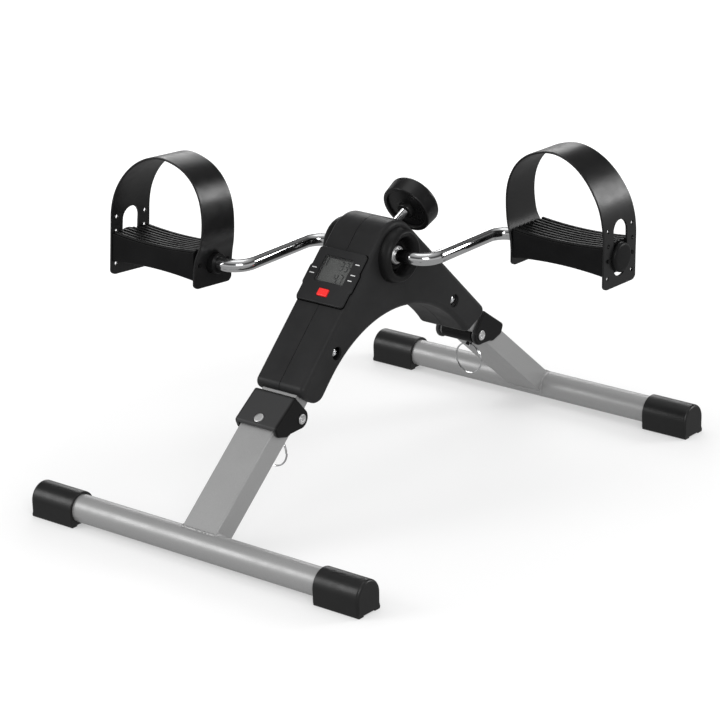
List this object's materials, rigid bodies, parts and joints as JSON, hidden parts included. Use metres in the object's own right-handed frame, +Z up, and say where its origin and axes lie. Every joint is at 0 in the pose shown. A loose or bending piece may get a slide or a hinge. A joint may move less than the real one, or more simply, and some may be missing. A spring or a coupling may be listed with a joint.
{
  "type": "folding pedal exerciser",
  "caption": "Small floor-standing pedal exerciser: a sloped housing on folding legs, a bent crank with strapped pedals, a tension knob and a display.",
  "frame": {"origin": "on the floor, midway between the two foot bars, under the crank", "axes": "+X along the crank towards the rider's right pedal, +Y from the display side to the knob side, +Z up"},
  "size_m": [0.3936, 0.5164, 0.3065],
  "materials": {
    "satin_grey_paint": "satin silver-grey paint",
    "chrome": "polished plating",
    "plain_steel": "zinc-plated steel",
    "dark_steel": "dark oxide",
    "charcoal_housing": "fine matt texture",
    "black_plastic": "satin moulded",
    "strap_plastic": "semi-gloss moulded",
    "red_plastic": "satin moulded",
    "lcd_grey": "smooth",
    "clear_window": "clear",
    "board_green": "coated"
  },
  "bodies": {
    "frame": {"housing_left": "charcoal_housing", "housing_right": "charcoal_housing", "display_case": "black_plastic", "display_window": "clear_window", "lcd_panel": "lcd_grey", "circuit_board": "board_green", "coin_cell": "plain_steel", "count_sensor": "black_plastic", "hub_ring_left": "black_plastic", "hub_ring_right": "black_plastic", "bearing_left": "plain_steel", "bearing_right": "plain_steel", "hub_plate_left": "plain_steel", "hub_plate_right": "plain_steel", "frame_tube_front": "satin_grey_paint", "frame_tube_rear": "satin_grey_paint", "hinge_block_front": "dark_steel", "hinge_block_rear": "dark_steel", "knuckle_front": "black_plastic", "knuckle_rear": "black_plastic", "lock_keeper_front": "plain_steel", "lock_keeper_rear": "plain_steel", "hinge_pin_front": "chrome", "hinge_pin_rear": "chrome", "tension_nut": "plain_steel", "housing_screw_front": "chrome", "housing_screw_rear": "chrome"},
    "crank": {"crank_left": "chrome", "crank_right": "chrome", "brake_drum": "plain_steel", "count_magnet": "dark_steel", "spindle_clip_left": "plain_steel", "spindle_clip_right": "plain_steel"},
    "pedal_left": {"pedal_body_left": "black_plastic", "foot_strap_left": "strap_plastic", "pedal_cap_left": "black_plastic", "pedal_bush_left": "black_plastic"},
    "pedal_right": {"pedal_body_right": "black_plastic", "foot_strap_right": "strap_plastic", "pedal_cap_right": "black_plastic", "pedal_bush_right": "black_plastic"},
    "brake": {"brake_shoe": "dark_steel"},
    "knob": {"tension_knob": "black_plastic", "tension_screw": "plain_steel"},
    "button": {"reset_button": "red_plastic"},
    "leg_front": {"leg_tube_front": "satin_grey_paint", "foot_bar_front": "satin_grey_paint", "end_cap_front_left": "black_plastic", "end_cap_front_right": "black_plastic", "lock_spring_front": "plain_steel"},
    "leg_rear": {"leg_tube_rear": "satin_grey_paint", "foot_bar_rear": "satin_grey_paint", "end_cap_rear_left": "black_plastic", "end_cap_rear_right": "black_plastic", "lock_spring_rear": "plain_steel"},
    "lock_front": {"lock_pin_front": "chrome"},
    "lock_rear": {"lock_pin_rear": "chrome"},
    "ring_front": {"pull_ring_front": "chrome"},
    "ring_rear": {"pull_ring_rear": "chrome"}
  },
  "joints": [
    {"name": "crank_turn", "type": "hinge", "parent": "frame", "child": "crank", "pos_m": [0, 0, 0.214], "axis": [1, 0, 0], "continuous": true},
    {"name": "pedal_left_spin", "type": "hinge", "parent": "crank", "child": "pedal_left", "pos_m": [-0.1424, -0.1077, 0.214], "axis": [1, 0, 0], "continuous": true},
    {"name": "pedal_right_spin", "type": "hinge", "parent": "crank", "child": "pedal_right", "pos_m": [0.1424, 0.1077, 0.214], "axis": [1, 0, 0], "continuous": true},
    {"name": "tension_slide", "type": "slide", "parent": "frame", "child": "brake", "axis": [0, -0.9063, -0.4226], "range_m": [-0.0023, 0.00155]},
    {"name": "knob_turn", "type": "hinge", "parent": "brake", "child": "knob", "pos_m": [0, 0, 0.214], "axis": [0, -0.9063, -0.4226], "range_deg": [-540, 360]},
    {"name": "button_press", "type": "slide", "parent": "frame", "child": "button", "axis": [0, -0.7034, 0.7108], "range_m": [-0.001, 0], "stiffness_N_per_m": 600, "springref_m": 0.0005},
    {"name": "front_fold", "type": "hinge", "parent": "frame", "child": "leg_front", "pos_m": [0, -0.1304, 0.099], "axis": [1, 0, 0], "range_deg": [0, 124]},
    {"name": "rear_fold", "type": "hinge", "parent": "frame", "child": "leg_rear", "pos_m": [0, 0.1304, 0.099], "axis": [-1, 0, 0], "range_deg": [0, 108]},
    {"name": "front_lock_pull", "type": "slide", "parent": "leg_front", "child": "lock_front", "axis": [0, 0.6521, -0.7581], "range_m": [0, 0.006], "stiffness_N_per_m": 500, "springref_m": -0.003},
    {"name": "rear_lock_pull", "type": "slide", "parent": "leg_rear", "child": "lock_rear", "axis": [0, -0.6521, -0.7581], "range_m": [0, 0.006], "stiffness_N_per_m": 500, "springref_m": -0.003},
    {"name": "front_ring_swing", "type": "hinge", "parent": "lock_front", "child": "ring_front", "pos_m": [0, -0.14174, 0.08318], "axis": [-1, 0, 0], "range_deg": [-50, 50]},
    {"name": "rear_ring_swing", "type": "hinge", "parent": "lock_rear", "child": "ring_rear", "pos_m": [0, 0.14174, 0.08318], "axis": [1, 0, 0], "range_deg": [-50, 50]}
  ],
  "couplings": [
    {"joint": "tension_slide", "follows": "knob_turn", "m_per_rad": 0.00023873}
  ]
}
